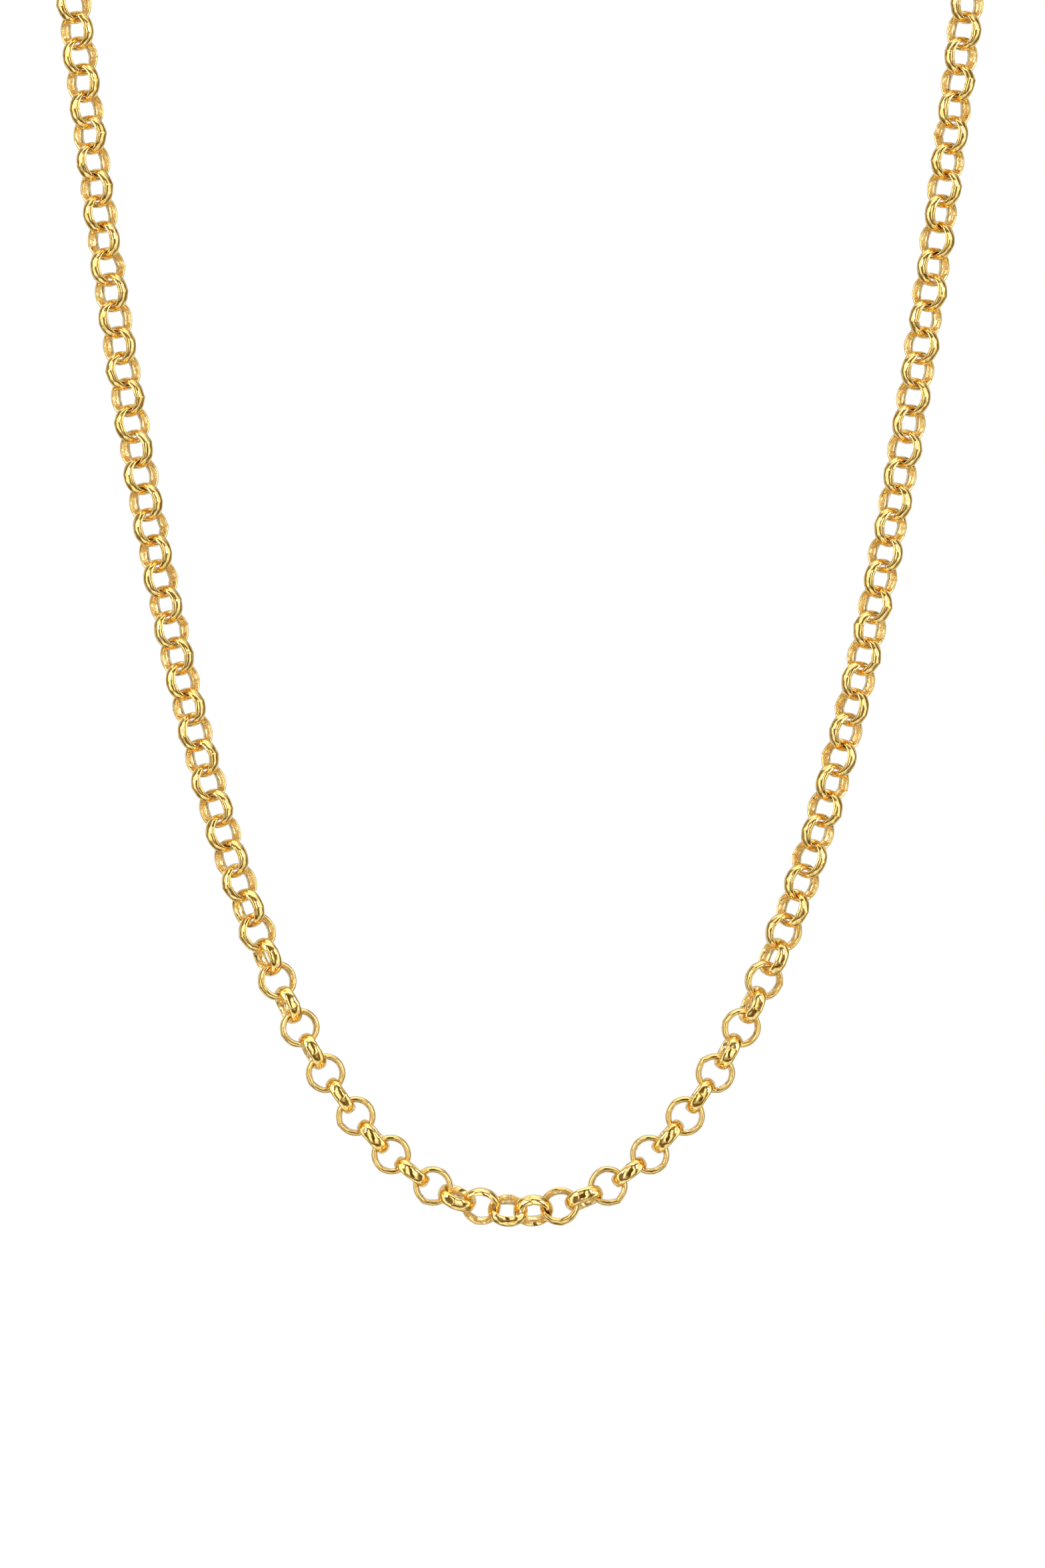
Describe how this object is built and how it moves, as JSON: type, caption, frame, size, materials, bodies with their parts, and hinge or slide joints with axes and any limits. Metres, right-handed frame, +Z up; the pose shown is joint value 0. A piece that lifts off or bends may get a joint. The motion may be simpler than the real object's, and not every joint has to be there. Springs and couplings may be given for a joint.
{
  "type": "chain necklace",
  "caption": "Rolo chain necklace of round domed gold links, hanging in a deep U from the neck, shut behind the nape by a lobster clasp between two jump rings.",
  "frame": {"origin": "the nape: the middle of the clasp, on the chain's centre line, where the neck holds the necklace up", "axes": "+Z up; the front hangs in a plane facing -Y (towards the viewer); +X is the viewer's right"},
  "size_m": [0.0982, 0.0455, 0.149],
  "materials": {
    "gold_chain": "polished yellow gold plate, scuffed on the flat inner faces",
    "gold_clasp": "polished yellow gold plate",
    "gold_rivet": "peened yellow gold plate",
    "spring_steel": "bright spring temper"
  },
  "bodies": {
    "nape": {"left_shoulder_run": "gold_chain", "left_nape_run": "gold_chain", "right_nape_run": "gold_chain", "right_shoulder_run": "gold_chain"},
    "left_run_01": {"left_run_01": "gold_chain"},
    "left_run_02": {"left_run_02": "gold_chain"},
    "left_run_03": {"left_run_03": "gold_chain"},
    "left_run_04": {"left_run_04": "gold_chain"},
    "left_run_05": {"left_run_05": "gold_chain"},
    "left_run_06": {"left_run_06": "gold_chain"},
    "left_run_07": {"left_run_07": "gold_chain"},
    "left_run_08": {"left_run_08": "gold_chain"},
    "left_run_09": {"left_run_09": "gold_chain"},
    "left_run_10": {"left_run_10": "gold_chain"},
    "left_run_11": {"left_run_11": "gold_chain"},
    "left_run_12": {"left_run_12": "gold_chain"},
    "left_run_13": {"left_run_13": "gold_chain"},
    "left_run_14": {"left_run_14": "gold_chain"},
    "left_run_15": {"left_run_15": "gold_chain"},
    "left_run_16": {"left_run_16": "gold_chain"},
    "left_run_17": {"left_run_17": "gold_chain"},
    "left_run_18": {"left_run_18": "gold_chain"},
    "left_run_19": {"left_run_19": "gold_chain"},
    "left_run_20": {"left_run_20": "gold_chain"},
    "left_run_21": {"left_run_21": "gold_chain"},
    "left_run_22": {"left_run_22": "gold_chain"},
    "left_run_23": {"left_run_23": "gold_chain"},
    "left_run_24": {"left_run_24": "gold_chain"},
    "right_run_01": {"right_run_01": "gold_chain"},
    "right_run_02": {"right_run_02": "gold_chain"},
    "right_run_03": {"right_run_03": "gold_chain"},
    "right_run_04": {"right_run_04": "gold_chain"},
    "right_run_05": {"right_run_05": "gold_chain"},
    "right_run_06": {"right_run_06": "gold_chain"},
    "right_run_07": {"right_run_07": "gold_chain"},
    "right_run_08": {"right_run_08": "gold_chain"},
    "right_run_09": {"right_run_09": "gold_chain"},
    "right_run_10": {"right_run_10": "gold_chain"},
    "right_run_11": {"right_run_11": "gold_chain"},
    "right_run_12": {"right_run_12": "gold_chain"},
    "right_run_13": {"right_run_13": "gold_chain"},
    "right_run_14": {"right_run_14": "gold_chain"},
    "right_run_15": {"right_run_15": "gold_chain"},
    "right_run_16": {"right_run_16": "gold_chain"},
    "right_run_17": {"right_run_17": "gold_chain"},
    "right_run_18": {"right_run_18": "gold_chain"},
    "right_run_19": {"right_run_19": "gold_chain"},
    "right_run_20": {"right_run_20": "gold_chain"},
    "right_run_21": {"right_run_21": "gold_chain"},
    "right_run_22": {"right_run_22": "gold_chain"},
    "right_run_23": {"right_run_23": "gold_chain"},
    "right_run_24": {"right_run_24": "gold_chain"},
    "small_jump_ring": {"small_jump_ring": "gold_chain"},
    "clasp": {"clasp_body": "gold_clasp", "clasp_pin": "gold_rivet", "clasp_spring": "spring_steel"},
    "clasp_lever": {"clasp_lever": "gold_clasp"},
    "large_jump_ring": {"large_jump_ring": "gold_chain"}
  },
  "joints": [
    {"name": "left_swing_01", "type": "hinge", "parent": "nape", "child": "left_run_01", "pos_m": [-0.04614, -0.0408, -0.01193], "axis": [1, 0, 0], "range_deg": [-10, 10]},
    {"name": "left_swing_02", "type": "hinge", "parent": "left_run_01", "child": "left_run_02", "pos_m": [-0.04528, -0.0408, -0.01986], "axis": [1, 0, 0], "range_deg": [-18, 18]},
    {"name": "left_swing_03", "type": "hinge", "parent": "left_run_02", "child": "left_run_03", "pos_m": [-0.04436, -0.0408, -0.02777], "axis": [-1, 0, 0], "range_deg": [-18, 18]},
    {"name": "left_swing_04", "type": "hinge", "parent": "left_run_03", "child": "left_run_04", "pos_m": [-0.04339, -0.0408, -0.03568], "axis": [-1, 0, 0], "range_deg": [-18, 18]},
    {"name": "left_swing_05", "type": "hinge", "parent": "left_run_04", "child": "left_run_05", "pos_m": [-0.04236, -0.0408, -0.04359], "axis": [-1, 0, 0], "range_deg": [-18, 18]},
    {"name": "left_swing_06", "type": "hinge", "parent": "left_run_05", "child": "left_run_06", "pos_m": [-0.04125, -0.0408, -0.05148], "axis": [-1, 0, 0], "range_deg": [-18, 18]},
    {"name": "left_swing_07", "type": "hinge", "parent": "left_run_06", "child": "left_run_07", "pos_m": [-0.04006, -0.0408, -0.05936], "axis": [1, 0, 0], "range_deg": [-18, 18]},
    {"name": "left_swing_08", "type": "hinge", "parent": "left_run_07", "child": "left_run_08", "pos_m": [-0.03878, -0.0408, -0.06723], "axis": [1, 0, 0], "range_deg": [-18, 18]},
    {"name": "left_swing_09", "type": "hinge", "parent": "left_run_08", "child": "left_run_09", "pos_m": [-0.03738, -0.0408, -0.07507], "axis": [1, 0, 0], "range_deg": [-18, 18]},
    {"name": "left_swing_10", "type": "hinge", "parent": "left_run_09", "child": "left_run_10", "pos_m": [-0.03638, -0.0408, -0.08024], "axis": [1, 0, 0], "range_deg": [-18, 18]},
    {"name": "left_swing_11", "type": "hinge", "parent": "left_run_10", "child": "left_run_11", "pos_m": [-0.03532, -0.0408, -0.08539], "axis": [-1, 0, 0], "range_deg": [-18, 18]},
    {"name": "left_swing_12", "type": "hinge", "parent": "left_run_11", "child": "left_run_12", "pos_m": [-0.03419, -0.0408, -0.09052], "axis": [-1, 0, 0], "range_deg": [-18, 18]},
    {"name": "left_swing_13", "type": "hinge", "parent": "left_run_12", "child": "left_run_13", "pos_m": [-0.03296, -0.0408, -0.09564], "axis": [-1, 0, 0], "range_deg": [-18, 18]},
    {"name": "left_swing_14", "type": "hinge", "parent": "left_run_13", "child": "left_run_14", "pos_m": [-0.03164, -0.0408, -0.10073], "axis": [-1, 0, 0], "range_deg": [-18, 18]},
    {"name": "left_swing_15", "type": "hinge", "parent": "left_run_14", "child": "left_run_15", "pos_m": [-0.0302, -0.0408, -0.10579], "axis": [1, 0, 0], "range_deg": [-18, 18]},
    {"name": "left_swing_16", "type": "hinge", "parent": "left_run_15", "child": "left_run_16", "pos_m": [-0.02863, -0.0408, -0.11081], "axis": [1, 0, 0], "range_deg": [-18, 18]},
    {"name": "left_swing_17", "type": "hinge", "parent": "left_run_16", "child": "left_run_17", "pos_m": [-0.02688, -0.0408, -0.11577], "axis": [1, 0, 0], "range_deg": [-18, 18]},
    {"name": "left_swing_18", "type": "hinge", "parent": "left_run_17", "child": "left_run_18", "pos_m": [-0.02493, -0.0408, -0.12066], "axis": [1, 0, 0], "range_deg": [-18, 18]},
    {"name": "left_swing_19", "type": "hinge", "parent": "left_run_18", "child": "left_run_19", "pos_m": [-0.02274, -0.0408, -0.12543], "axis": [-1, 0, 0], "range_deg": [-18, 18]},
    {"name": "left_swing_20", "type": "hinge", "parent": "left_run_19", "child": "left_run_20", "pos_m": [-0.02022, -0.0408, -0.13005], "axis": [-1, 0, 0], "range_deg": [-18, 18]},
    {"name": "left_swing_21", "type": "hinge", "parent": "left_run_20", "child": "left_run_21", "pos_m": [-0.01731, -0.0408, -0.13443], "axis": [-1, 0, 0], "range_deg": [-18, 18]},
    {"name": "left_swing_22", "type": "hinge", "parent": "left_run_21", "child": "left_run_22", "pos_m": [-0.01389, -0.0408, -0.13842], "axis": [-1, 0, 0], "range_deg": [-18, 18]},
    {"name": "left_swing_23", "type": "hinge", "parent": "left_run_22", "child": "left_run_23", "pos_m": [-0.00986, -0.0408, -0.14179], "axis": [1, 0, 0], "range_deg": [-15, 15]},
    {"name": "left_swing_24", "type": "hinge", "parent": "left_run_23", "child": "left_run_24", "pos_m": [-0.00517, -0.0408, -0.14413], "axis": [1, 0, 0], "range_deg": [-10, 10]},
    {"name": "right_swing_01", "type": "hinge", "parent": "nape", "child": "right_run_01", "pos_m": [0.04614, -0.0408, -0.01193], "axis": [1, 0, 0], "range_deg": [-10, 10]},
    {"name": "right_swing_02", "type": "hinge", "parent": "right_run_01", "child": "right_run_02", "pos_m": [0.04528, -0.0408, -0.01986], "axis": [1, 0, 0], "range_deg": [-18, 18]},
    {"name": "right_swing_03", "type": "hinge", "parent": "right_run_02", "child": "right_run_03", "pos_m": [0.04436, -0.0408, -0.02777], "axis": [-1, 0, 0], "range_deg": [-18, 18]},
    {"name": "right_swing_04", "type": "hinge", "parent": "right_run_03", "child": "right_run_04", "pos_m": [0.04339, -0.0408, -0.03568], "axis": [-1, 0, 0], "range_deg": [-18, 18]},
    {"name": "right_swing_05", "type": "hinge", "parent": "right_run_04", "child": "right_run_05", "pos_m": [0.04236, -0.0408, -0.04359], "axis": [-1, 0, 0], "range_deg": [-18, 18]},
    {"name": "right_swing_06", "type": "hinge", "parent": "right_run_05", "child": "right_run_06", "pos_m": [0.04125, -0.0408, -0.05148], "axis": [-1, 0, 0], "range_deg": [-18, 18]},
    {"name": "right_swing_07", "type": "hinge", "parent": "right_run_06", "child": "right_run_07", "pos_m": [0.04006, -0.0408, -0.05936], "axis": [1, 0, 0], "range_deg": [-18, 18]},
    {"name": "right_swing_08", "type": "hinge", "parent": "right_run_07", "child": "right_run_08", "pos_m": [0.03878, -0.0408, -0.06723], "axis": [1, 0, 0], "range_deg": [-18, 18]},
    {"name": "right_swing_09", "type": "hinge", "parent": "right_run_08", "child": "right_run_09", "pos_m": [0.03738, -0.0408, -0.07507], "axis": [1, 0, 0], "range_deg": [-18, 18]},
    {"name": "right_swing_10", "type": "hinge", "parent": "right_run_09", "child": "right_run_10", "pos_m": [0.03638, -0.0408, -0.08024], "axis": [1, 0, 0], "range_deg": [-18, 18]},
    {"name": "right_swing_11", "type": "hinge", "parent": "right_run_10", "child": "right_run_11", "pos_m": [0.03532, -0.0408, -0.08539], "axis": [-1, 0, 0], "range_deg": [-18, 18]},
    {"name": "right_swing_12", "type": "hinge", "parent": "right_run_11", "child": "right_run_12", "pos_m": [0.03419, -0.0408, -0.09052], "axis": [-1, 0, 0], "range_deg": [-18, 18]},
    {"name": "right_swing_13", "type": "hinge", "parent": "right_run_12", "child": "right_run_13", "pos_m": [0.03296, -0.0408, -0.09564], "axis": [-1, 0, 0], "range_deg": [-18, 18]},
    {"name": "right_swing_14", "type": "hinge", "parent": "right_run_13", "child": "right_run_14", "pos_m": [0.03164, -0.0408, -0.10073], "axis": [-1, 0, 0], "range_deg": [-18, 18]},
    {"name": "right_swing_15", "type": "hinge", "parent": "right_run_14", "child": "right_run_15", "pos_m": [0.0302, -0.0408, -0.10579], "axis": [1, 0, 0], "range_deg": [-18, 18]},
    {"name": "right_swing_16", "type": "hinge", "parent": "right_run_15", "child": "right_run_16", "pos_m": [0.02863, -0.0408, -0.11081], "axis": [1, 0, 0], "range_deg": [-18, 18]},
    {"name": "right_swing_17", "type": "hinge", "parent": "right_run_16", "child": "right_run_17", "pos_m": [0.02688, -0.0408, -0.11577], "axis": [1, 0, 0], "range_deg": [-18, 18]},
    {"name": "right_swing_18", "type": "hinge", "parent": "right_run_17", "child": "right_run_18", "pos_m": [0.02493, -0.0408, -0.12066], "axis": [1, 0, 0], "range_deg": [-18, 18]},
    {"name": "right_swing_19", "type": "hinge", "parent": "right_run_18", "child": "right_run_19", "pos_m": [0.02274, -0.0408, -0.12543], "axis": [-1, 0, 0], "range_deg": [-18, 18]},
    {"name": "right_swing_20", "type": "hinge", "parent": "right_run_19", "child": "right_run_20", "pos_m": [0.02022, -0.0408, -0.13005], "axis": [-1, 0, 0], "range_deg": [-18, 18]},
    {"name": "right_swing_21", "type": "hinge", "parent": "right_run_20", "child": "right_run_21", "pos_m": [0.01731, -0.0408, -0.13443], "axis": [-1, 0, 0], "range_deg": [-18, 18]},
    {"name": "right_swing_22", "type": "hinge", "parent": "right_run_21", "child": "right_run_22", "pos_m": [0.01389, -0.0408, -0.13842], "axis": [-1, 0, 0], "range_deg": [-18, 18]},
    {"name": "right_swing_23", "type": "hinge", "parent": "right_run_22", "child": "right_run_23", "pos_m": [0.00986, -0.0408, -0.14179], "axis": [1, 0, 0], "range_deg": [-15, 15]},
    {"name": "right_swing_24", "type": "hinge", "parent": "right_run_23", "child": "right_run_24", "pos_m": [0.00517, -0.0408, -0.14413], "axis": [1, 0, 0], "range_deg": [-10, 10]},
    {"name": "small_ring_turn", "type": "hinge", "parent": "nape", "child": "small_jump_ring", "pos_m": [-0.0082, 0, 0], "axis": [1, 0, 0], "range_deg": [-12, 12]},
    {"name": "clasp_turn", "type": "hinge", "parent": "small_jump_ring", "child": "clasp", "pos_m": [-0.0054, 0, 0], "axis": [1, 0, 0], "range_deg": [-12, 12]},
    {"name": "lever_open", "type": "hinge", "parent": "clasp", "child": "clasp_lever", "pos_m": [-0.00135, 0, -0.001], "axis": [0, -1, 0], "range_deg": [0, 24], "stiffness_Nm_per_rad": 0.004, "springref_deg": -20.05, "deforming": ["clasp_spring"]},
    {"name": "large_ring_turn", "type": "hinge", "parent": "nape", "child": "large_jump_ring", "pos_m": [0.0082, 0, 0], "axis": [1, 0, 0], "range_deg": [-12, 12]}
  ],
  "couplings": [
    {"joint": "right_swing_01", "follows": "left_swing_01", "ratio": 1},
    {"joint": "right_swing_02", "follows": "left_swing_02", "ratio": 1},
    {"joint": "right_swing_03", "follows": "left_swing_03", "ratio": 1},
    {"joint": "right_swing_04", "follows": "left_swing_04", "ratio": 1},
    {"joint": "right_swing_05", "follows": "left_swing_05", "ratio": 1},
    {"joint": "right_swing_06", "follows": "left_swing_06", "ratio": 1},
    {"joint": "right_swing_07", "follows": "left_swing_07", "ratio": 1},
    {"joint": "right_swing_08", "follows": "left_swing_08", "ratio": 1},
    {"joint": "right_swing_09", "follows": "left_swing_09", "ratio": 1},
    {"joint": "right_swing_10", "follows": "left_swing_10", "ratio": 1},
    {"joint": "right_swing_11", "follows": "left_swing_11", "ratio": 1},
    {"joint": "right_swing_12", "follows": "left_swing_12", "ratio": 1},
    {"joint": "right_swing_13", "follows": "left_swing_13", "ratio": 1},
    {"joint": "right_swing_14", "follows": "left_swing_14", "ratio": 1},
    {"joint": "right_swing_15", "follows": "left_swing_15", "ratio": 1},
    {"joint": "right_swing_16", "follows": "left_swing_16", "ratio": 1},
    {"joint": "right_swing_17", "follows": "left_swing_17", "ratio": 1},
    {"joint": "right_swing_18", "follows": "left_swing_18", "ratio": 1},
    {"joint": "right_swing_19", "follows": "left_swing_19", "ratio": 1},
    {"joint": "right_swing_20", "follows": "left_swing_20", "ratio": 1},
    {"joint": "right_swing_21", "follows": "left_swing_21", "ratio": 1},
    {"joint": "right_swing_22", "follows": "left_swing_22", "ratio": 1},
    {"joint": "right_swing_23", "follows": "left_swing_23", "ratio": 1},
    {"joint": "right_swing_24", "follows": "left_swing_24", "ratio": 1}
  ]
}
